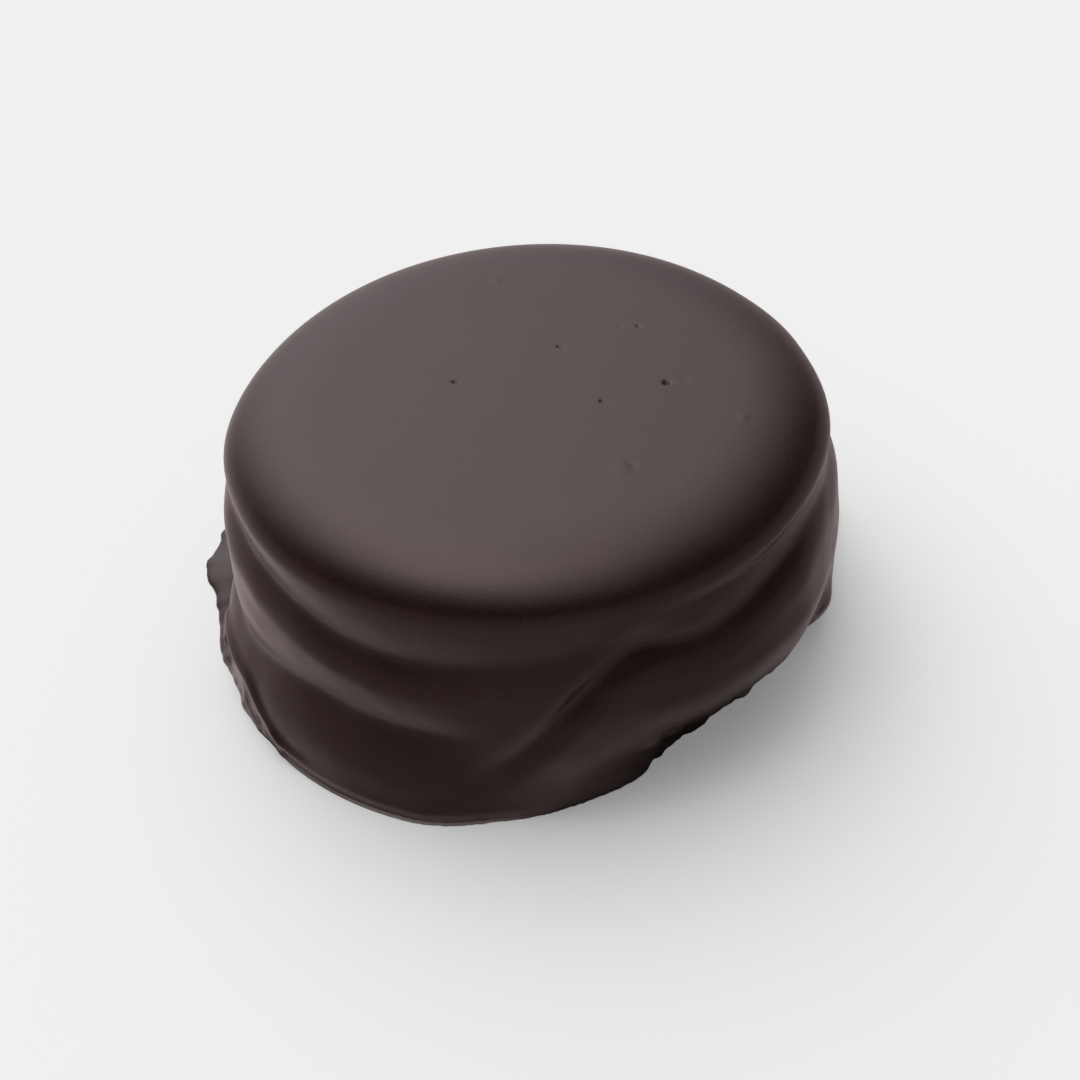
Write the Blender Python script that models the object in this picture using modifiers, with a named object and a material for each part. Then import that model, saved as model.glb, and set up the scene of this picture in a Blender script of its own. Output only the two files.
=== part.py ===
"""Chocolate coated alfajor: one turned blank, shaped by the folds of its coat.

Run with: blender --background --python part.py
Units are metres, +Z up. The origin is the middle of the flat underside. An azimuth is an angle
about +Z, counted from +X towards +Y; -90 degrees is the front.
"""

import math

import bmesh
import bpy
import numpy as np

MM = 0.001

# Driving sizes
HEIGHT = 30.2 * MM
RADIUS = 30.0 * MM
SHOULDER_WIDTH = 10.7 * MM
SHOULDER_DROP = 5.6 * MM
SHOULDER_POWER = 2.6
CROWN = 1.0 * MM
RIM = 0.9 * MM

# Fineness of the turned blank
AZIMUTH_STEPS = 104
SHOULDER_STEPS = 9
TOP_RINGS = 4
BASE_RINGS = 2
WALL_STEP = 1.0 * MM
FOOT_STEP = 0.45 * MM
FOOT_ZONE = 4.0 * MM

# Dark couverture: linear colour and satin finish
COAT_COLOUR = (0.025, 0.0112, 0.0098, 1.0)
COAT_ROUGHNESS = 0.32


# ---------------------------------------------------------------- azimuth helpers
def turn(azimuth, centre):
    """Signed angle in degrees from centre to azimuth, between -180 and 180."""
    return (azimuth - centre + 180.0) % 360.0 - 180.0


def ease(t):
    """Smooth rise from 0 to 1 as t goes from 0 to 1."""
    t = np.clip(t, 0.0, 1.0)
    return t * t * (3.0 - 2.0 * t)


def hump(azimuth, centre, width):
    """1 at centre, falling off like a bell of that width in degrees."""
    return np.exp((np.cos(np.radians(azimuth - centre)) - 1.0) / math.radians(width) ** 2)


def span(azimuth, start, end, soft):
    """1 between the azimuths start and end, with soft ends of that many degrees."""
    half = (end - start) % 360.0 / 2.0
    away = abs(turn(azimuth, start + half))
    return ease((half + soft / 2.0 - away) / soft)


def bell(value, centre, width):
    """1 at centre, falling off like a bell of that width."""
    return np.exp(-(((value - centre) / width) ** 2))


# ---------------------------------------------------------------- the coat's folds
# These functions take and return millimetres, and azimuths in degrees.
def crease(height, line, tuck, swell, above, below, soft):
    """The coat tucks in above the line and comes out below it, where the next layer stands out by swell."""
    gap = height - line
    away = np.hypot(gap, soft) - soft
    upper = -tuck * np.maximum(1.0 - away / above, 0.0) ** 2
    lower = swell - (tuck + swell) * np.maximum(1.0 - away / below, 0.0) ** 2
    return np.where(gap > 0.0, upper, lower)


def body_radius(azimuth):
    """Outline of the top biscuit under its coat, not quite round."""
    corners = 0.38 * hump(azimuth, 35, 20) + 0.33 * hump(azimuth, 148, 20) + 0.2 * hump(azimuth, -90, 25)
    broad = 0.25 * hump(azimuth, 90, 26) + 0.3 * hump(azimuth, 178, 12) + 0.26 * hump(azimuth, 0, 12)
    return RADIUS / MM + broad - corners + 0.18 * hump(azimuth, -40, 20)


def cap_crease(azimuth, height):
    """Under the top biscuit, all round; lowest and deepest at the front left."""
    line = 22.2 - 3.1 * hump(azimuth, -118, 25) + 0.9 * hump(azimuth, 180, 16) - 0.8 * hump(azimuth, 80, 40)
    deep = span(azimuth, -175, -106, 24)
    tuck = 0.14 + 0.47 * deep + 0.25 * span(azimuth, -42, 20, 24) + 0.35 * hump(azimuth, 12, 12)
    return crease(height, line, tuck, 0.35 + 0.38 * deep, 4.4, 3.8, 0.8)


def belly_crease(azimuth, height):
    """Above the lower biscuit, from the back round to the front left."""
    line = 10.7 + 0.5 * hump(azimuth, -140, 9) - 1.5 * hump(azimuth, -168, 12) + 1.2 * hump(azimuth, 100, 35)
    deep = span(azimuth, 150, -109, 16) + 0.5 * span(azimuth, 50, 140, 40)
    below = 4.3 + 2.2 * span(azimuth, -165, -110, 20)
    return crease(height, line, 0.65 * deep, 1.1 * deep, 4.4, below, 0.7)


def drape_crease(azimuth, height):
    """From the right side to the front, where it runs down slantwise to the foot."""
    line = 20.2 - 1.4 * hump(azimuth, -58.5, 8) + 0.9 * hump(azimuth, -22, 12)
    line -= 13.2 * ease((-70.5 - turn(azimuth, 0)) / 35.0)
    deep = span(azimuth, -96, -27, 22)
    ridge = 0.22 * span(azimuth, -98, -62, 20) * bell(height - line, 2.0, 2.0)
    return crease(height, line, 0.6 * deep, 0.8 * deep, 3.7, 3.8, 0.6) + ridge


def pleat(azimuth, height):
    """Fine second line close under the top biscuit at the right."""
    line = 23.0 + 0.6 * hump(azimuth, -20, 15)
    return crease(height, line, 0.22 * span(azimuth, -64, -14, 24), 0.0, 1.3, 1.5, 0.3)


def foot_ridge(azimuth, height):
    """Thin ridge that runs slantwise down the foot of the left wall."""
    line = 1.9 + 3.4 * ease((-144.0 - turn(azimuth, 0)) / 18.0)
    return 0.5 * span(azimuth, 172, -144, 10) * bell(height, line, 0.7)


def taper(azimuth, height):
    """At the front right the coat draws in towards a smaller foot."""
    amount = 8.6 * ease((turn(azimuth, 0) + 110.0) / 56.0) * ease((12.0 - turn(azimuth, 0)) / 44.0)
    return -amount * np.maximum(1.0 - height / 13.2, 0.0) ** 1.65


def hollows(azimuth, height):
    """Shallow slack places in the wall between the creases, and a bulge at the right."""
    left = hump(azimuth, -150, 20) * bell(height, 15.0, 4.0)
    front = hump(azimuth, -110, 20) * bell(height, 6.0, 4.0)
    right = hump(azimuth, -50, 20) * bell(height, 15.0, 5.0)
    return 0.5 * hump(azimuth, 14, 9) * bell(height, 12.0, 6.0) - 0.2 * (left + front + right)


def foot_flange(azimuth, height):
    """Set chocolate spread round the foot, wide and thin behind."""
    width = 5.4 * span(azimuth, 22, 164, 20) + 1.0 * hump(azimuth, 32, 12)
    width += 3.1 * hump(azimuth, 146, 7) + 2.3 * hump(azimuth, 170, 9)
    half_height = 1.2 + 5.4 * hump(azimuth, 18, 11) + 0.8 * hump(azimuth, 95, 25)
    return width / (1.0 + (height / half_height) ** 2.2)


def under_lip(azimuth, height):
    """The coat's free edge hangs over a rough hollow at the front right."""
    edge = 8.2 - 2.1 * hump(azimuth, -24, 10)
    depth = 1.2 * span(azimuth, -64, -22, 14)
    return -depth * ease((edge - height) / 0.9) * ease(height / 2.5)


def foot_scraps(azimuth, height):
    """A tab at the right end of the free edge, and torn bits of coat left under it."""
    tab = 1.6 * hump(azimuth, -12, 4.5) * bell(height, 3.5, 2.3)
    scraps = 1.3 * hump(azimuth, -73, 7) * bell(height, 0.0, 2.5)
    for centre, width, middle in ((-52, 3.0, 4.6), (-34, 3.5, 4.4), (-43, 2.5, 3.8)):
        scraps += 0.9 * hump(azimuth, centre, width) * bell(height, middle, 1.6)
    return tab + scraps


def foot_step(azimuth, height):
    """At the front the wall stands back a little from the thin rim that set on the tray."""
    depth = 0.18 * span(azimuth, -150, -98, 24)
    return -depth * ease(height / 0.25) * (1.0 - ease((height - 0.4) / 1.2))


FOLDS = (
    cap_crease, belly_crease, drape_crease, pleat, foot_ridge, hollows,
    foot_flange, taper, under_lip, foot_scraps, foot_step,
)


def wall_radius(azimuth, height):
    """Distance of the wall from the axis."""
    return body_radius(azimuth) + sum(shape(azimuth, height) for shape in FOLDS)


# ---------------------------------------------------------------- the turned blank
def blank_profile():
    """Half outline of the blank from the middle of the top down to the middle of the base."""
    flat = RADIUS - SHOULDER_WIDTH
    spring = HEIGHT - SHOULDER_DROP
    points = [(flat * i / TOP_RINGS, HEIGHT) for i in range(TOP_RINGS)]
    for i in range(SHOULDER_STEPS):
        angle = math.pi / 2 * i / SHOULDER_STEPS
        out = math.sin(angle) ** (2.0 / SHOULDER_POWER)
        points.append((flat + SHOULDER_WIDTH * out, spring + SHOULDER_DROP * math.cos(angle)))
    height = spring
    while height > RIM + 0.5 * FOOT_STEP:
        points.append((RADIUS, height))
        height -= WALL_STEP if height > FOOT_ZONE else FOOT_STEP
    points += [(RADIUS, RIM), (RADIUS, 0.0)]
    points += [(RADIUS * (1 - i / BASE_RINGS), 0.0) for i in range(1, BASE_RINGS + 1)]
    return points


def turned_blank():
    points = blank_profile()
    mesh = bpy.data.meshes.new("blank_profile")
    mesh.from_pydata([(x, 0.0, z) for x, z in points], [(i, i + 1) for i in range(len(points) - 1)], [])
    profile = bpy.data.objects.new("blank_profile", mesh)
    bpy.context.scene.collection.objects.link(profile)
    screw = profile.modifiers.new("turn", "SCREW")
    screw.steps = screw.render_steps = AZIMUTH_STEPS
    screw.use_merge_vertices = True
    screw.merge_threshold = 1e-5
    graph = bpy.context.evaluated_depsgraph_get()
    turned = bpy.data.meshes.new_from_object(profile.evaluated_get(graph))
    bpy.data.objects.remove(profile)
    bpy.data.meshes.remove(mesh)
    return turned


def shaped(points):
    """Where the points of the blank go on the finished coat."""
    x, y, z = points.T
    reach = np.hypot(x, y)
    azimuth = np.degrees(np.arctan2(y, x))
    spring = HEIGHT - SHOULDER_DROP
    body = body_radius(azimuth) * MM
    wall = wall_radius(azimuth, np.minimum(z, spring) / MM) * MM
    # The top and its shoulder follow the outline; the folds below fade out over the shoulder.
    flat = RADIUS - SHOULDER_WIDTH
    top_reach = np.minimum(reach / flat, 1.0) * (body - SHOULDER_WIDTH) + np.maximum(reach - flat, 0.0)
    # The top falls a little towards its shoulder, and the fall ends at the spring line.
    fall = CROWN * (top_reach / body) ** 2 * np.clip((z - spring) / SHOULDER_DROP, 0.0, 1.0)
    top_reach += (wall - body) * ease(1.0 - (z - spring) / SHOULDER_DROP)
    on_top = z > spring
    new_reach = np.where(on_top, top_reach, wall * reach / RADIUS)
    scale = new_reach / np.maximum(reach, 1e-9)
    return np.column_stack([x * scale, y * scale, np.where(on_top, z - fall, z)])


# ---------------------------------------------------------------- the object
def coat_material():
    material = bpy.data.materials.new("dark_couverture")
    material.use_nodes = True
    surface = material.node_tree.nodes["Principled BSDF"]
    surface.inputs["Base Color"].default_value = COAT_COLOUR
    surface.inputs["Roughness"].default_value = COAT_ROUGHNESS
    surface.inputs["Metallic"].default_value = 0.0
    return material


def make_alfajor(collection):
    mesh = turned_blank()
    mesh.name = "alfajor"
    form = bmesh.new()
    form.from_mesh(mesh)
    bmesh.ops.remove_doubles(form, verts=form.verts, dist=1e-6)
    places = shaped(np.array([vertex.co for vertex in form.verts], dtype=float))
    for vertex, place in zip(form.verts, places):
        vertex.co = place
    bmesh.ops.recalc_face_normals(form, faces=form.faces)
    bmesh.ops.triangulate(form, faces=form.faces)
    form.to_mesh(mesh)
    form.free()
    mesh.shade_smooth()
    mesh.set_sharp_from_angle(angle=math.radians(50))
    mesh.materials.append(coat_material())
    alfajor = bpy.data.objects.new("alfajor", mesh)
    collection.objects.link(alfajor)
    return alfajor


def main():
    for old in list(bpy.data.objects):
        bpy.data.objects.remove(old)
    collection = bpy.data.collections.new("chocolate_alfajor")
    bpy.context.scene.collection.children.link(collection)
    make_alfajor(collection)


main()
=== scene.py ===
"""Looks of the chocolate coated alfajor: its folded coat, the finish of the chocolate and a small studio.

Run with: blender --background --python scene.py
Units are metres, +Z up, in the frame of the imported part. Inside the coat's node tree lengths are in
millimetres and an azimuth is in degrees about +Z, counted from +X towards +Y; -90 is the front.
"""

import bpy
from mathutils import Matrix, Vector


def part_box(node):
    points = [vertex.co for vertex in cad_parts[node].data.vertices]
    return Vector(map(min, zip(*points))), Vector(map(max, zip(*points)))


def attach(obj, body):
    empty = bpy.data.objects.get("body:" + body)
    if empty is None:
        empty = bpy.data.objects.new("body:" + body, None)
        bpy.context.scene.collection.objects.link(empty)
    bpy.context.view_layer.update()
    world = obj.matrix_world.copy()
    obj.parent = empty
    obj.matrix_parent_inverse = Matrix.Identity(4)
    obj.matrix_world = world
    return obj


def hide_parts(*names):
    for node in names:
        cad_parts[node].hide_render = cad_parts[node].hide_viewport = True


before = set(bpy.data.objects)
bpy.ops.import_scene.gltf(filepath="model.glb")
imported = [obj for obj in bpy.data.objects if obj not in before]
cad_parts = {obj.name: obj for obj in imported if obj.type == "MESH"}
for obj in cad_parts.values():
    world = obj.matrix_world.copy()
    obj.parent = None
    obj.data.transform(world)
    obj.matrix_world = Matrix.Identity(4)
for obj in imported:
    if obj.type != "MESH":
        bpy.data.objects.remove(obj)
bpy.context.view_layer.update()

import math

import bmesh
import bpy
from mathutils import Matrix, Vector

bl_info = {
    "name": "Chocolate Alfajor",
    "version": (1, 0, 0),
    "blender": (4, 5, 0),
    "location": "View3D > Sidebar > Alfajor",
    "description": "Models a chocolate coated alfajor and the studio it stands in",
    "category": "Add Mesh",
}

MM = 0.001
NODE = "alfajor"
SLOT = "dark_couverture"
PIECE = "chocolate_coat"
NODE_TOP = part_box(NODE)[1][2]


# ---------------------------------------------------------------- node expressions
class Graph:
    """Builds one node tree."""

    def __init__(self, tree):
        self.tree = tree

    def add(self, kind, settings=(), sockets=(), output=0):
        """Adds a node, sets its settings and then its sockets, and returns one of its outputs."""
        node = self.tree.nodes.new(kind)
        for name, value in dict(settings).items():
            setattr(node, name, value)
        for name, value in dict(sockets).items():
            self.feed(node, name, value)
        return Value(self, node.outputs[output]) if len(node.outputs) else node

    def feed(self, node, name, value):
        if isinstance(name, int):
            socket = node.inputs[name]
        else:
            socket = next(found for found in node.inputs if found.name == name and found.enabled)
        if isinstance(value, Value):
            self.tree.links.new(value.socket, socket)
        else:
            socket.default_value = value


class Value:
    """A socket in arithmetic: each step of an expression adds one Math node."""

    def __init__(self, graph, socket):
        self.graph, self.socket = graph, socket

    def math(self, operation, *others):
        operands = (self, *others)
        return self.graph.add("ShaderNodeMath", {"operation": operation}, dict(enumerate(operands)))

    def reflected(self, operation, other):
        return self.graph.add("ShaderNodeMath", {"operation": operation}, {0: other, 1: self})

    def out(self, name):
        """Another output of the same node."""
        return Value(self.graph, self.socket.node.outputs[name])

    def __add__(self, other):
        return self.math("ADD", other)

    def __sub__(self, other):
        return self.math("SUBTRACT", other)

    def __rsub__(self, other):
        return self.reflected("SUBTRACT", other)

    def __mul__(self, other):
        return self.math("MULTIPLY", other)

    def __truediv__(self, other):
        return self.math("DIVIDE", other)

    def __rtruediv__(self, other):
        return self.reflected("DIVIDE", other)

    def __pow__(self, other):
        return self.math("POWER", other)

    def __mod__(self, other):
        return self.math("FLOORED_MODULO", other)

    def __neg__(self):
        return self.math("MULTIPLY", -1.0)

    def __abs__(self):
        return self.math("ABSOLUTE")

    __radd__, __rmul__ = __add__, __mul__

    def lesser(self, other):
        return self.math("MINIMUM", other)

    def greater(self, other):
        return self.math("MAXIMUM", other)

    def over(self, other):
        return self.math("GREATER_THAN", other)

    def exp(self):
        return self.math("EXPONENT")

    def sin(self):
        return self.math("SINE")

    def cos(self):
        return self.math("COSINE")


def limit(t):
    return t.greater(0.0).lesser(1.0)


def ease(t):
    """Smooth rise from 0 to 1 as t goes from 0 to 1."""
    t = limit(t)
    return t * t * (3.0 - 2.0 * t)


def turn(azimuth, centre):
    """Signed angle from centre to azimuth, between -180 and 180 degrees."""
    return (azimuth - centre + 180.0) % 360.0 - 180.0


def hump(azimuth, centre, width):
    """1 at centre, falling off like a bell of that width in degrees."""
    sharpness = 1.0 / math.radians(width) ** 2
    return (((azimuth - centre) * math.radians(1.0)).cos() * sharpness - sharpness).exp()


def span(azimuth, start, end, soft):
    """1 between the azimuths start and end, with soft ends of that many degrees."""
    half = (end - start) % 360.0 / 2.0
    away = abs(turn(azimuth, start + half))
    return ease((half + soft / 2.0 - away) / soft)


def bell(value, centre, width):
    """1 at centre, falling off like a bell of that width."""
    offset = (value - centre) / width
    return (-(offset * offset)).exp()


# ---------------------------------------------------------------- the coat's shape, in millimetres
def crease(height, line, tuck, swell, above, below, soft):
    """The coat tucks in above the line and comes out below it, where the next layer stands out by swell."""
    gap = height - line
    away = (gap * gap + soft * soft) ** 0.5 - soft
    upper = -tuck * (1.0 - away / above).greater(0.0) ** 2.0
    lower = swell - (tuck + swell) * (1.0 - away / below).greater(0.0) ** 2.0
    return lower + (upper - lower) * gap.over(0.0)


def body_radius(azimuth, radius):
    """Outline of the top biscuit under its coat, not quite round."""
    corners = 0.38 * hump(azimuth, 35, 20) + 0.33 * hump(azimuth, 148, 20) + 0.2 * hump(azimuth, -90, 25)
    broad = 0.25 * hump(azimuth, 90, 26) + 0.3 * hump(azimuth, 178, 12) + 0.26 * hump(azimuth, 0, 12)
    return radius + broad - corners + 0.18 * hump(azimuth, -40, 20)


def cap_crease(azimuth, height):
    """Under the top biscuit, all round; lowest and deepest at the front left."""
    line = 22.2 - 3.1 * hump(azimuth, -118, 25) + 0.9 * hump(azimuth, 180, 16) - 0.8 * hump(azimuth, 80, 40)
    deep = span(azimuth, -175, -106, 24)
    tuck = 0.14 + 0.47 * deep + 0.25 * span(azimuth, -42, 20, 24) + 0.35 * hump(azimuth, 12, 12)
    return crease(height, line, tuck, 0.35 + 0.38 * deep, 4.4, 3.8, 0.8)


def belly_crease(azimuth, height):
    """Above the lower biscuit, from the back round to the front left."""
    line = 10.7 + 0.5 * hump(azimuth, -140, 9) - 1.5 * hump(azimuth, -168, 12) + 1.2 * hump(azimuth, 100, 35)
    deep = span(azimuth, 150, -109, 16) + 0.5 * span(azimuth, 50, 140, 40)
    below = 4.3 + 2.2 * span(azimuth, -165, -110, 20)
    return crease(height, line, 0.65 * deep, 1.1 * deep, 4.4, below, 0.7)


def drape_crease(azimuth, height):
    """From the right side to the front, where it runs down slantwise to the foot."""
    line = 20.2 - 1.4 * hump(azimuth, -58.5, 8) + 0.9 * hump(azimuth, -22, 12)
    line -= 13.2 * ease((-70.5 - turn(azimuth, 0)) / 35.0)
    deep = span(azimuth, -96, -27, 22)
    ridge = 0.22 * span(azimuth, -98, -62, 20) * bell(height - line, 2.0, 2.0)
    return crease(height, line, 0.6 * deep, 0.8 * deep, 3.7, 3.8, 0.6) + ridge


def pleat(azimuth, height):
    """Fine second line close under the top biscuit at the right."""
    line = 23.0 + 0.6 * hump(azimuth, -20, 15)
    return crease(height, line, 0.22 * span(azimuth, -64, -14, 24), 0.0, 1.3, 1.5, 0.3)


def foot_ridge(azimuth, height):
    """Thin ridge that runs slantwise down the foot of the left wall."""
    line = 1.9 + 3.4 * ease((-144.0 - turn(azimuth, 0)) / 18.0)
    return 0.5 * span(azimuth, 172, -144, 10) * bell(height, line, 0.7)


def taper(azimuth, height):
    """At the front right the coat draws in towards a smaller foot."""
    amount = 8.6 * ease((turn(azimuth, 0) + 110.0) / 56.0) * ease((12.0 - turn(azimuth, 0)) / 44.0)
    return -amount * (1.0 - height / 13.2).greater(0.0) ** 1.65


def hollows(azimuth, height):
    """Shallow slack places in the wall between the creases, and a bulge at the right."""
    left = hump(azimuth, -150, 20) * bell(height, 15.0, 4.0)
    front = hump(azimuth, -110, 20) * bell(height, 6.0, 4.0)
    right = hump(azimuth, -50, 20) * bell(height, 15.0, 5.0)
    return 0.5 * hump(azimuth, 14, 9) * bell(height, 12.0, 6.0) - 0.2 * (left + front + right)


def foot_flange(azimuth, height):
    """Set chocolate spread round the foot, wide and thin behind."""
    width = 5.4 * span(azimuth, 22, 164, 20) + 1.0 * hump(azimuth, 32, 12)
    width += 3.1 * hump(azimuth, 146, 7) + 2.3 * hump(azimuth, 170, 9)
    half_height = 1.2 + 5.4 * hump(azimuth, 18, 11) + 0.8 * hump(azimuth, 95, 25)
    return width / (1.0 + (height / half_height) ** 2.2)


def free_edge(azimuth):
    """Height at which the coat ends over the front right of the foot."""
    return 8.2 - 2.1 * hump(azimuth, -24, 10)


def under_lip(azimuth, height):
    """The coat's free edge hangs over a rough hollow at the front right."""
    depth = 1.2 * span(azimuth, -64, -22, 14)
    return -depth * ease((free_edge(azimuth) - height) / 0.9) * ease(height / 2.5)


def foot_scraps(azimuth, height):
    """A tab at the right end of the free edge, and torn bits of coat left under it."""
    tab = 1.6 * hump(azimuth, -12, 4.5) * bell(height, 3.5, 2.3)
    scraps = 1.3 * hump(azimuth, -73, 7) * bell(height, 0.0, 2.5)
    for centre, width, middle in ((-52, 3.0, 4.6), (-34, 3.5, 4.4), (-43, 2.5, 3.8)):
        scraps += 0.9 * hump(azimuth, centre, width) * bell(height, middle, 1.6)
    return tab + scraps


def foot_step(azimuth, height):
    """At the front the wall stands back a little from the thin rim that set on the tray."""
    depth = 0.18 * span(azimuth, -150, -98, 24)
    return -depth * ease(height / 0.25) * (1.0 - ease((height - 0.4) / 1.2))


FOLDS = (
    cap_crease, belly_crease, drape_crease, pleat, foot_ridge, hollows,
    foot_flange, taper, under_lip, foot_scraps, foot_step,
)


def wall_radius(azimuth, height, radius):
    """Distance of the wall from the axis."""
    total = body_radius(azimuth, radius)
    for shape in FOLDS:
        total += shape(azimuth, height)
    return total


def lumps(x, y, z, seed, size, detail=1.0):
    """Random value about 0 that varies in space, with lumps of that size in millimetres."""
    graph = x.graph
    place = graph.add("ShaderNodeCombineXYZ", (), {"X": x, "Y": y, "Z": z})
    noise = graph.add(
        "ShaderNodeTexNoise", {"noise_dimensions": "4D"},
        {"Vector": place, "W": seed, "Scale": 1.0 / size, "Detail": detail})
    return noise - 0.5


def unevenness(azimuth, height, radius, seed, spring):
    """Small irregularities: a slack skin, a ragged rim of the foot and torn coat under the free edge."""
    angle = azimuth * math.radians(1.0)
    x, y = angle.cos() * radius, angle.sin() * radius
    wall = ease(height / 4.0) * ease((spring - height) / 5.0)
    slack = 0.5 * wall * lumps(x, y, height, seed, 7.0)
    ragged = span(azimuth, 12, 172, 14) * bell(height, 0.0, 1.6) * (
        2.6 * lumps(x, y, 0.0, seed + 1.0, 3.6, 2.0) + 0.25 * lumps(x, y, 0.0, seed + 2.0, 0.9) - 0.6)
    scallop = 1.2 * span(azimuth, 164, -146, 12) * bell(height, 1.0, 2.6)
    scallop = scallop * lumps(x, y, height, seed + 3.0, 2.4)
    serrated = span(azimuth, -118, -66, 20) * bell(height, 0.0, 0.5) * (
        0.5 * lumps(x, y, 0.0, seed + 4.0, 0.7) - 0.1)
    under = span(azimuth, -72, -14, 10) * ease((free_edge(azimuth) - height) / 1.5)
    torn = under * (2.6 * lumps(x, y, height, seed + 5.0, 3.0) + 0.3 * lumps(x, y, height, seed + 6.0, 0.9))
    return slack + ragged + scallop + serrated + torn


# ---------------------------------------------------------------- the coat's node tree
COAT_INPUTS = (
    ("Height", "NodeSocketFloat"),
    ("Radius", "NodeSocketFloat"),
    ("Shoulder Width", "NodeSocketFloat"),
    ("Shoulder Drop", "NodeSocketFloat"),
    ("Shoulder Power", "NodeSocketFloat"),
    ("Crown", "NodeSocketFloat"),
    ("Rim", "NodeSocketFloat"),
    ("Steps Around", "NodeSocketInt"),
    ("Seed", "NodeSocketFloat"),
)
# Rows of faces in each zone, from the middle of the top to the middle of the underside.
ZONES = {"top": 34, "shoulder": 24, "wall": 62, "foot": 22, "rim": 12, "base": 4}
FOOT_ZONE = 4.0          # height of the wall's finer rows, in millimetres
TOP_WAVE = (0.09, 8.0)   # height and width of the top's soft waves, in millimetres
STEP_SHARPNESS = 1000.0  # turns the wall's progress into a switch from the top to the wall
WELD = 2e-6              # merges the grid's seam and poles, in metres


def coat_tree(material):
    """A grid of azimuths and rows that is rolled into the closed coat."""
    tree = bpy.data.node_groups.new("coat_shape", "GeometryNodeTree")
    for name, kind in COAT_INPUTS:
        tree.interface.new_socket(name, in_out="INPUT", socket_type=kind)
    tree.interface.new_socket("Coat", in_out="OUTPUT", socket_type="NodeSocketGeometry")
    graph = Graph(tree)
    given = graph.add("NodeGroupInput")
    height, radius = given, given.out("Radius")
    width, drop = given.out("Shoulder Width"), given.out("Shoulder Drop")
    crown, rim, steps = given.out("Crown"), given.out("Rim"), given.out("Steps Around")

    rows = sum(ZONES.values())
    grid = graph.add("GeometryNodeMeshGrid", (), {"Vertices X": steps + 1, "Vertices Y": rows + 1})
    place = graph.add("ShaderNodeSeparateXYZ", (), {0: graph.add("GeometryNodeInputPosition")})
    azimuth = place * 360.0
    row = (place.out("Y") + 0.5) * float(rows)

    progress, start = {}, 0
    for zone, count in ZONES.items():
        progress[zone] = limit((row - float(start)) / float(count))
        start += count
    bend = progress["shoulder"] * (math.pi / 2.0)
    spring = height - drop
    body = body_radius(azimuth, radius)
    # Above the spring line the top rounds over; below it the folds shape the wall.
    top_reach = progress["top"] * (body - width) + width * bend.sin() ** (2.0 / given.out("Shoulder Power"))
    share = top_reach / body
    off_top = limit(progress["wall"] * STEP_SHARPNESS)
    top_height = spring + drop * bend.cos() - crown * share * share * (1.0 - progress["shoulder"])
    top_height = top_height.greater(spring)
    z = top_height - (spring - FOOT_ZONE) * progress["wall"]
    z = z - (FOOT_ZONE - rim) * progress["foot"] - rim * progress["rim"]
    wall_height = z.lesser(spring)
    seed = given.out("Seed")
    wall = wall_radius(azimuth, wall_height, radius) + unevenness(azimuth, wall_height, radius, seed, spring)
    fade = ease(1.0 - (z - spring) / drop)
    top_reach = top_reach + (wall - body) * fade
    reach = top_reach + (wall - top_reach) * off_top
    reach = reach * (1.0 - progress["base"])

    angle = azimuth * math.radians(1.0)
    x, y = reach * angle.cos(), reach * angle.sin()
    wave, size = TOP_WAVE
    z = z + wave * lumps(x, y, 0.0, seed + 7.0, size) * (1.0 - limit(progress["shoulder"] * 2.0))
    point = graph.add("ShaderNodeCombineXYZ", (), {"X": x * MM, "Y": y * MM, "Z": z * MM})
    rolled = graph.add("GeometryNodeSetPosition", (), {"Geometry": grid, "Position": point})
    joined = graph.add("GeometryNodeMergeByDistance", (), {"Geometry": rolled, "Distance": WELD})
    smooth = graph.add("GeometryNodeSetShadeSmooth", (), {"Geometry": joined})
    real = graph.add("GeometryNodeRealizeInstances", (), {"Geometry": smooth})
    coated = graph.add("GeometryNodeSetMaterial", (), {"Geometry": real, "Material": material})
    graph.add("NodeGroupOutput", (), {"Coat": coated})
    return tree


def run_tree(name, tree, inputs):
    """Evaluates a node tree and returns its result as an object with a plain mesh."""
    host = bpy.data.objects.new(name, bpy.data.meshes.new(name))
    bpy.context.scene.collection.objects.link(host)
    modifier = host.modifiers.new("shape", "NODES")
    modifier.node_group = tree
    for item in tree.interface.items_tree:
        if item.in_out == "INPUT" and item.name in inputs:
            modifier[item.identifier] = inputs[item.name]
    graph = bpy.context.evaluated_depsgraph_get()
    mesh = bpy.data.meshes.new_from_object(host.evaluated_get(graph))
    host.modifiers.remove(modifier)
    host.data = mesh
    mesh.name = name
    return host


# ---------------------------------------------------------------- material
# Noise scales, in repeats a metre.
CLOUD_SCALE = 160.0
GRAIN_SCALE = 5600.0
SPECK_SCALE = 1300.0
SPECK_SHARE = 0.05       # of the cells that hold a speck
SPECK_SIZE = 0.16        # of a speck in its cell
# The pale rim at the front is partly wear and partly a painted highlight; these give its height and the side
# it faces.
RIM_WEAR_AND_HIGHLIGHT_HEIGHT = 0.42 * MM  # of the pale rim
RIM_WEAR_AND_HIGHLIGHT_SIDE = (-0.53, -0.85)


def mixed(graph, factor, colour, other):
    """Mix of two colours, each a socket or three numbers."""
    first, second = (value if isinstance(value, Value) else (*value, 1.0) for value in (colour, other))
    return graph.add(
        "ShaderNodeMix", {"data_type": "RGBA"}, {"Factor": factor, "A": first, "B": second}, output=2)


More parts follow.
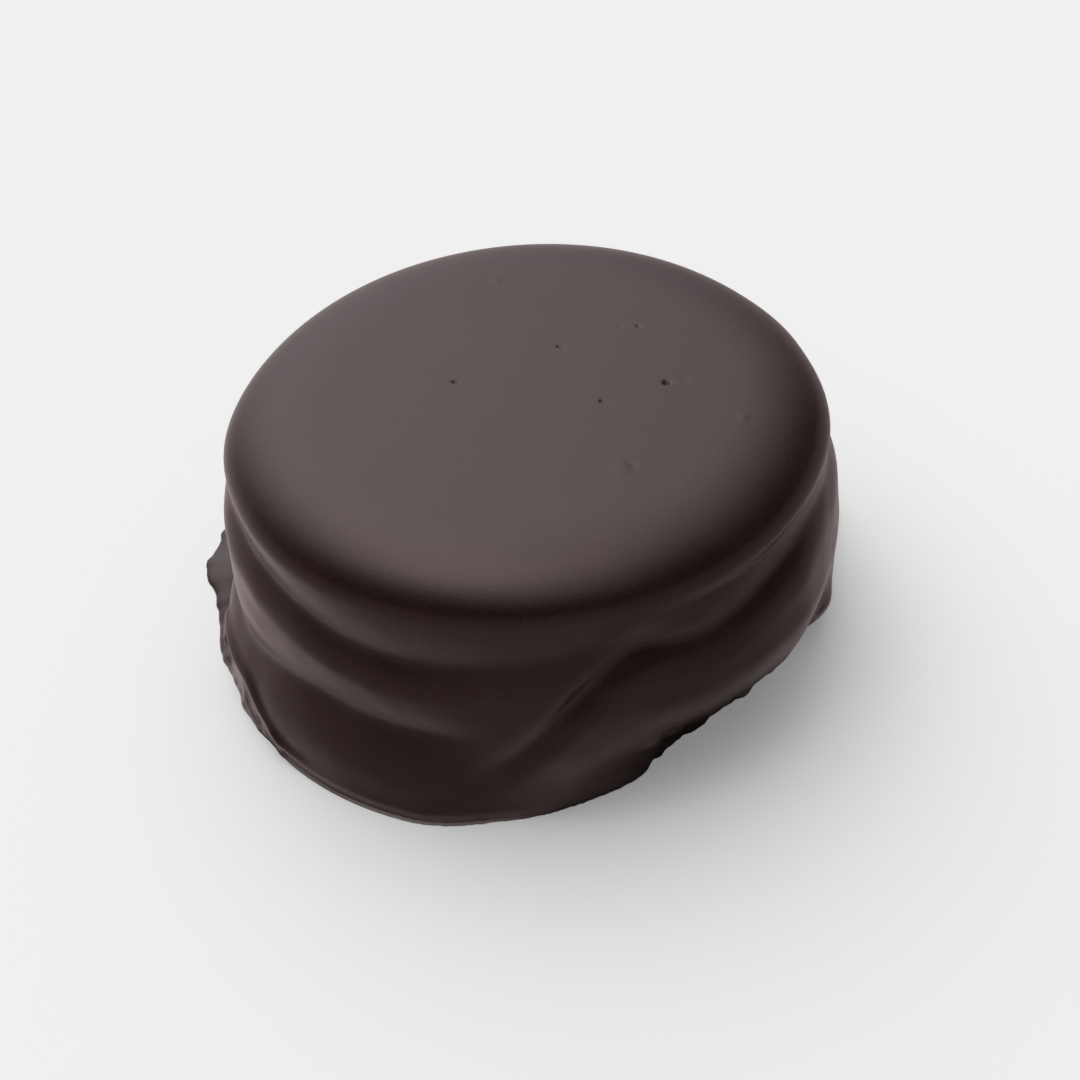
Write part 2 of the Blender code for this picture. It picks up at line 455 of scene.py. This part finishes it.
def chocolate_material(finish):
    """Satin dark chocolate with soft clouds, fine grain, tiny specks and a paler rim at the front, partly
    wear and partly a painted highlight.
    """
    material = bpy.data.materials.new(SLOT)
    material.use_nodes = True
    tree = material.node_tree
    tree.nodes.clear()
    graph = Graph(tree)
    where = graph.add("ShaderNodeTexCoord", output="Object")
    cloud = graph.add("ShaderNodeTexNoise", {}, {"Vector": where, "Scale": CLOUD_SCALE, "Detail": 3.0})
    grain = graph.add("ShaderNodeTexNoise", {}, {"Vector": where, "Scale": GRAIN_SCALE, "Detail": 2.0})
    cell = graph.add("ShaderNodeTexVoronoi", {"feature": "F1"}, {"Vector": where, "Scale": SPECK_SCALE})
    lucky = graph.add(
        "ShaderNodeTexWhiteNoise", {"noise_dimensions": "3D"}, {"Vector": cell.out("Position")})
    speck = limit((SPECK_SIZE - cell.out("Distance")) * 12.0) * limit((lucky - (1.0 - SPECK_SHARE)) * 40.0)
    tone = limit(0.5 + 1.2 * (cloud - 0.5) + 3.6 * (grain - 0.5))
    colour = mixed(graph, tone, finish.shade, finish.colour)
    colour = mixed(graph, speck * 0.7, colour, finish.speck)
    # The thin rim at the front is paler, partly where it broke away from the tray and partly as a painted
    # highlight: a pale colour that stands in for the floor's reflection and lifts the shade in the corner of
    # the foot.
    spot = graph.add("ShaderNodeSeparateXYZ", {}, {0: where})
    x, y, z = spot, spot.out("Y"), spot.out("Z")
    facing = (x * RIM_WEAR_AND_HIGHLIGHT_SIDE[0] + y * RIM_WEAR_AND_HIGHLIGHT_SIDE[1]) / (x * x + y * y) ** 0.5
    rim_wear_and_highlight = limit((RIM_WEAR_AND_HIGHLIGHT_HEIGHT - z) / (0.2 * MM)) * ease((facing - 0.87) / 0.08)
    rim_wear_and_highlight = rim_wear_and_highlight * limit(0.4 + 1.6 * (cloud - 0.2))
    colour = mixed(graph, rim_wear_and_highlight, colour, finish.rim_wear_and_highlight)
    rough = finish.roughness + 0.2 * rim_wear_and_highlight + 0.06 * (cloud - 0.5) + 0.10 * (grain - 0.5)
    relief = graph.add("ShaderNodeBump", {}, {"Strength": 1.0, "Distance": finish.grain, "Height": grain})
    surface = graph.add("ShaderNodeBsdfPrincipled", {}, {
        "Base Color": colour, "Roughness": rough, "Normal": relief, "IOR": 1.5,
        "Specular IOR Level": finish.sheen, "Specular Tint": (*finish.sheen_tint, 1.0),
    })
    graph.add("ShaderNodeOutputMaterial", {}, {"Surface": surface})
    return material


# ---------------------------------------------------------------- settings
class ALFAJOR_PG_coat(bpy.types.PropertyGroup):
    """Sizes of the coat"""

    height: bpy.props.FloatProperty(
        name="Height", description="From the underside to the top", default=30.14 * MM,
        min=0.01, unit="LENGTH", subtype="DISTANCE")
    radius: bpy.props.FloatProperty(
        name="Radius", description="Of the top biscuit in its coat", default=29.97 * MM,
        min=0.01, unit="LENGTH", subtype="DISTANCE")
    shoulder_width: bpy.props.FloatProperty(
        name="Shoulder Width", description="How far in from the wall the top starts to round over",
        default=10.7 * MM, min=0.0005, unit="LENGTH", subtype="DISTANCE")
    shoulder_drop: bpy.props.FloatProperty(
        name="Shoulder Drop", description="How far the shoulder comes down before it is upright",
        default=5.6 * MM, min=0.0005, unit="LENGTH", subtype="DISTANCE")
    shoulder_power: bpy.props.FloatProperty(
        name="Shoulder Power", description="2 is an ellipse; more starts the rounding more gently",
        default=2.6, min=2.0, max=6.0)
    crown: bpy.props.FloatProperty(
        name="Crown", description="How far the top falls from its middle to its shoulder",
        default=1.0 * MM, min=0.0, unit="LENGTH", subtype="DISTANCE")
    rim: bpy.props.FloatProperty(
        name="Rim", description="Height of the chamfer at the foot", default=0.9 * MM,
        min=0.0002, unit="LENGTH", subtype="DISTANCE")
    steps_around: bpy.props.IntProperty(
        name="Steps Around", description="Faces in one row round the coat", default=540, min=60, max=2000)
    seed: bpy.props.IntProperty(
        name="Seed", description="Picks the small unevenness of the foot", default=3, min=0)


class ALFAJOR_PG_finish(bpy.types.PropertyGroup):
    """Colours and sheen of the chocolate"""

    colour: bpy.props.FloatVectorProperty(
        name="Colour", description="Set dark chocolate", default=(0.031, 0.0140, 0.0124),
        size=3, min=0.0, max=1.0, subtype="COLOR")
    shade: bpy.props.FloatVectorProperty(
        name="Shade", description="Darker clouds in the chocolate", default=(0.017, 0.0078, 0.0070),
        size=3, min=0.0, max=1.0, subtype="COLOR")
    speck: bpy.props.FloatVectorProperty(
        name="Specks", description="Tiny pale specks of sugar and milk", default=(0.10, 0.070, 0.055),
        size=3, min=0.0, max=1.0, subtype="COLOR")
    # A painted highlight as well as wear: this colour is paler than worn chocolate alone, to stand in for
    # the floor's reflection and lift the shade in the corner of the foot.
    rim_wear_and_highlight: bpy.props.FloatVectorProperty(
        name="Rim Wear And Highlight", description="Paler chocolate on the thin rim at the front",
        default=(0.38, 0.33, 0.31), size=3, min=0.0, max=1.0, subtype="COLOR")
    sheen: bpy.props.FloatProperty(
        name="Sheen", description="Specular level of the satin surface", default=0.63, min=0.0, max=1.0,
        subtype="FACTOR")
    sheen_tint: bpy.props.FloatVectorProperty(
        name="Sheen Tint", description="Tint of the sheen", default=(1.0, 0.78, 0.81),
        size=3, min=0.0, max=1.0, subtype="COLOR")
    roughness: bpy.props.FloatProperty(
        name="Roughness", description="Of the satin surface", default=0.31, min=0.0, max=1.0,
        subtype="FACTOR")
    grain: bpy.props.FloatProperty(
        name="Grain", description="Height of the finest grain", default=0.015 * MM, min=0.0,
        unit="LENGTH", subtype="DISTANCE")


class ALFAJOR_PG_stage(bpy.types.PropertyGroup):
    """Camera, floor and light"""

    elevation: bpy.props.FloatProperty(
        name="Elevation", description="Of the camera above the floor", default=math.radians(38.71),
        unit="ROTATION", subtype="ANGLE")
    roll: bpy.props.FloatProperty(
        name="Roll", description="Of the camera about its line of sight", default=math.radians(5.22),
        unit="ROTATION", subtype="ANGLE")
    distance: bpy.props.FloatProperty(
        name="Distance", description="From the camera to the aim", default=0.45, min=0.1,
        unit="LENGTH", subtype="DISTANCE")
    aim: bpy.props.FloatVectorProperty(
        name="Aim", description="The point the camera looks at", default=(0.0004, 0.00146, 0.010), size=3,
        unit="LENGTH", subtype="XYZ")
    lens: bpy.props.FloatProperty(
        name="Lens", description="Focal length in millimetres on a 36 mm sensor", default=148.3, min=10.0)
    floor: bpy.props.FloatVectorProperty(
        name="Floor", description="Colour of the floor", default=(0.90, 0.90, 0.90),
        size=3, min=0.0, max=1.0, subtype="COLOR")
    floor_glow: bpy.props.FloatProperty(
        name="Floor Glow", description="Light through the floor, as on a light table", default=0.20, min=0.0)
    floor_mirrored: bpy.props.FloatVectorProperty(
        name="Floor Mirrored", description="Colour of the floor where it lights the object",
        default=(0.27, 0.22, 0.21), size=3, min=0.0, max=1.0, subtype="COLOR")
    floor_gloss: bpy.props.FloatVectorProperty(
        name="Floor Gloss", description="Sheen of the floor where it lights the object",
        default=(0.48, 0.42, 0.41), size=3, min=0.0, max=1.0, subtype="COLOR")
    light: bpy.props.FloatProperty(
        name="Light", description="Strength of all the soft boxes together", default=1.0, min=0.0)
    fill: bpy.props.FloatProperty(
        name="Fill", description="Even light from all round", default=0.02, min=0.0)


class ALFAJOR_PG_settings(bpy.types.PropertyGroup):
    coat: bpy.props.PointerProperty(type=ALFAJOR_PG_coat)
    finish: bpy.props.PointerProperty(type=ALFAJOR_PG_finish)
    stage: bpy.props.PointerProperty(type=ALFAJOR_PG_stage)


# ---------------------------------------------------------------- operators
class ALFAJOR_OT_coat(bpy.types.Operator):
    """Model the folded chocolate coat in place of the plain solid"""

    bl_idname = "alfajor.coat"
    bl_label = "Chocolate Coat"

    def execute(self, context):
        settings = context.scene.alfajor
        coat = settings.coat
        material = chocolate_material(settings.finish)
        tree = coat_tree(material)
        sizes = {
            "Height": coat.height / MM, "Radius": coat.radius / MM, "Crown": coat.crown / MM,
            "Shoulder Width": coat.shoulder_width / MM, "Shoulder Drop": coat.shoulder_drop / MM,
            "Shoulder Power": coat.shoulder_power, "Rim": coat.rim / MM, "Steps Around": coat.steps_around,
            "Seed": float(coat.seed),
        }
        piece = run_tree(PIECE, tree, sizes)
        mesh = piece.data
        print("coat:", len(mesh.vertices), "points,", len(mesh.polygons), "faces")
        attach(piece, "root")
        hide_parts(NODE)
        return {"FINISHED"}


MARKS = (
    # x, y, width and depth in millimetres; a mark of negative depth stands up
    (14.1, -0.6, 0.27, 0.38), (14.5, -0.6, 0.35, 0.06), (-6.6, 2.5, 0.22, 0.20), (-6.2, 2.45, 0.35, 0.05),
    (4.0, 6.8, 0.20, 0.17), (4.4, 6.75, 0.35, 0.05), (7.6, -2.8, 0.20, 0.20), (8.0, -2.8, 0.35, 0.05),
    (12.1, 9.2, 0.20, 0.17), (10.3, 9.3, 0.30, 0.04), (15.9, -0.3, 0.45, 0.04), (-1.6, 19.4, 0.35, -0.05),
    (9.5, -12.6, 0.40, 0.04), (9.85, -13.1, 0.42, 0.06), (9.9, -13.7, 0.40, 0.035),
    (9.0, -13.9, 0.95, -0.06), (21.1, -6.9, 0.5, -0.05),
)
# A faint arc round a middle at x, y, with its radius, height and width, and where along x it shows.
RIPPLE = {"x": 5.6, "y": -14.6, "radius": 25.0, "height": 0.02, "width": 0.9, "at": 2.3, "length": 8.0}
FINE_EDGE = 0.2 * MM     # edges longer than this are cut finer under a mark
TOP_SHARE = 0.8          # of the cookie's height; what lies above it is the top


class ALFAJOR_OT_marks(bpy.types.Operator):
    """Press the small air holes, the dimple and the faint ripple into the top of the coat"""

    bl_idname = "alfajor.marks"
    bl_label = "Marks on the Top"

    def execute(self, context):
        mesh = bpy.data.objects[PIECE].data
        form = bmesh.new()
        form.from_mesh(mesh)
        for x, y, width, _ in MARKS:
            spot, reach = Vector((x, y)) * MM, 3.0 * width * MM
            near = [
                edge for edge in form.edges
                if edge.calc_length() > FINE_EDGE and self.on_top(edge.verts[0])
                and min((vertex.co.xy - spot).length for vertex in edge.verts) < reach
            ]
            if not near:
                raise RuntimeError("a mark lies off the top of the coat")
            bmesh.ops.subdivide_edges(form, edges=near, cuts=5, use_grid_fill=True)
        for vertex in form.verts:
            if self.on_top(vertex):
                vertex.co.z += self.lift(vertex.co.x / MM, vertex.co.y / MM) * MM
        form.to_mesh(mesh)
        form.free()
        print("coat with its marks:", len(mesh.vertices), "points,", len(mesh.polygons), "faces")
        return {"FINISHED"}

    @staticmethod
    def on_top(vertex):
        return vertex.co.z > TOP_SHARE * NODE_TOP

    @staticmethod
    def lift(x, y):
        away = (math.hypot(x - RIPPLE["x"], y - RIPPLE["y"]) - RIPPLE["radius"]) / RIPPLE["width"]
        along = (x - RIPPLE["at"]) / RIPPLE["length"]
        total = RIPPLE["height"] * math.exp(-away ** 2 - along ** 2)
        for at_x, at_y, width, depth in MARKS:
            total -= depth * math.exp(-((x - at_x) ** 2 + (y - at_y) ** 2) / width ** 2)
        return total


SOFT_BOXES = (
    # azimuth, elevation and spread in degrees, brightness
    (110.0, 50.0, 21.0, 1.6),   # large box behind, over the cookie
    (105.0, 10.0, 24.0, 0.6),   # low strip behind
    (180.0, 75.0, 15.0, 1.6),   # overhead, on the left
    (45.0, 80.0, 20.0, 0.6),    # overhead, on the right
    (270.0, 60.0, 15.0, 0.6),   # weak fill in front
)


FLOOR_HALF = 3.0         # metres
FLOOR_ROUGHNESS = 0.35
SENSOR = 36.0            # millimetres


def direction(azimuth, elevation):
    """Unit vector towards an azimuth and an elevation, in radians."""
    return Vector((
        math.cos(elevation) * math.cos(azimuth), math.cos(elevation) * math.sin(azimuth), math.sin(elevation)
    ))


class ALFAJOR_OT_stage(bpy.types.Operator):
    """Set up the pale floor, the soft boxes and the camera"""

    bl_idname = "alfajor.stage"
    bl_label = "Studio"

    def execute(self, context):
        scene = context.scene
        stage = scene.alfajor.stage
        self.make_floor(scene, stage)
        self.make_light(scene, stage)
        self.make_camera(scene, stage)
        scene.view_settings.view_transform = "Standard"
        return {"FINISHED"}

    def make_floor(self, scene, stage):
        """Plain and pale in view; what lights and mirrors in the chocolate is a dimmer, glossy sheet."""
        mesh = bpy.data.meshes.new("floor")
        form = bmesh.new()
        bmesh.ops.create_grid(form, x_segments=1, y_segments=1, size=FLOOR_HALF)
        form.to_mesh(mesh)
        form.free()
        floor = bpy.data.objects.new("floor", mesh)
        scene.collection.objects.link(floor)
        material = bpy.data.materials.new("pale_floor")
        material.use_nodes = True
        material.node_tree.nodes.clear()
        graph = Graph(material.node_tree)
        sheet = graph.add("ShaderNodeBsdfDiffuse", {}, {"Color": (*stage.floor, 1.0)})
        lit = graph.add("ShaderNodeEmission", {}, {"Strength": stage.floor_glow})
        seen = graph.add("ShaderNodeAddShader", {}, {0: sheet, 1: lit})
        matt = graph.add("ShaderNodeBsdfDiffuse", {}, {"Color": (*stage.floor_mirrored, 1.0)})
        gloss = graph.add(
            "ShaderNodeBsdfGlossy", {}, {"Color": (*stage.floor_gloss, 1.0), "Roughness": FLOOR_ROUGHNESS})
        mirrored = graph.add("ShaderNodeAddShader", {}, {0: matt, 1: gloss})
        path = graph.add("ShaderNodeLightPath", output="Is Camera Ray")
        surface = graph.add("ShaderNodeMixShader", {}, {0: path, 1: mirrored, 2: seen})
        graph.add("ShaderNodeOutputMaterial", {}, {"Surface": surface})
        mesh.materials.append(material)

    def make_light(self, scene, stage):
        """A light tent: a few soft boxes, brightest above and behind the cookie."""
        world = bpy.data.worlds.new("light_tent")
        world.use_nodes = True
        world.node_tree.nodes.clear()
        graph = Graph(world.node_tree)
        ray = graph.add("ShaderNodeTexCoord", output="Generated")
        total = stage.fill
        for azimuth, elevation, spread, brightness in SOFT_BOXES:
            centre = direction(math.radians(azimuth), math.radians(elevation))
            facing = graph.add(
                "ShaderNodeVectorMath", {"operation": "DOT_PRODUCT"}, {0: ray, 1: centre}, output="Value")
            total = total + brightness * ((facing - 1.0) / math.radians(spread) ** 2).exp()
        glow = graph.add(
            "ShaderNodeBackground", {}, {"Color": (1.0, 1.0, 1.0, 1.0), "Strength": total * stage.light})
        graph.add("ShaderNodeOutputWorld", {}, {"Surface": glow})
        scene.world = world

    def make_camera(self, scene, stage):
        """In front of the cookie, looking down on it."""
        lens = bpy.data.cameras.new("camera")
        lens.lens = stage.lens
        lens.sensor_width = SENSOR
        lens.clip_start = 0.01
        camera = bpy.data.objects.new("camera", lens)
        back = direction(-math.pi / 2.0, stage.elevation)
        turned = back.to_track_quat("Z", "Y").to_matrix().to_4x4() @ Matrix.Rotation(-stage.roll, 4, "Z")
        camera.matrix_world = Matrix.Translation(Vector(stage.aim) + back * stage.distance) @ turned
        scene.collection.objects.link(camera)
        scene.camera = camera


class ALFAJOR_PT_panel(bpy.types.Panel):
    """Lists the steps that make the alfajor and its studio"""

    bl_idname = "ALFAJOR_PT_panel"
    bl_label = "Alfajor"
    bl_space_type = "VIEW_3D"
    bl_region_type = "UI"
    bl_category = "Alfajor"

    def draw(self, context):
        settings = context.scene.alfajor
        steps = (
            (ALFAJOR_OT_coat, (settings.coat, settings.finish)),
            (ALFAJOR_OT_marks, ()),
            (ALFAJOR_OT_stage, (settings.stage,)),
        )
        for operator, groups in steps:
            box = self.layout.box()
            box.operator(operator.bl_idname)
            for group in groups:
                self.list_settings(box, group)

    @staticmethod
    def list_settings(box, group):
        for name in group.bl_rna.properties.keys():
            if name not in ("rna_type", "name"):
                box.prop(group, name)


CLASSES = (
    ALFAJOR_PG_coat, ALFAJOR_PG_finish, ALFAJOR_PG_stage, ALFAJOR_PG_settings,
    ALFAJOR_OT_coat, ALFAJOR_OT_marks, ALFAJOR_OT_stage, ALFAJOR_PT_panel,
)


def register():
    for cls in CLASSES:
        bpy.utils.register_class(cls)
    bpy.types.Scene.alfajor = bpy.props.PointerProperty(type=ALFAJOR_PG_settings)


def unregister():
    del bpy.types.Scene.alfajor
    for cls in reversed(CLASSES):
        bpy.utils.unregister_class(cls)


def main():
    register()
    bpy.ops.alfajor.coat()
    bpy.ops.alfajor.marks()
    bpy.ops.alfajor.stage()


if __name__ == "__main__":
    main()
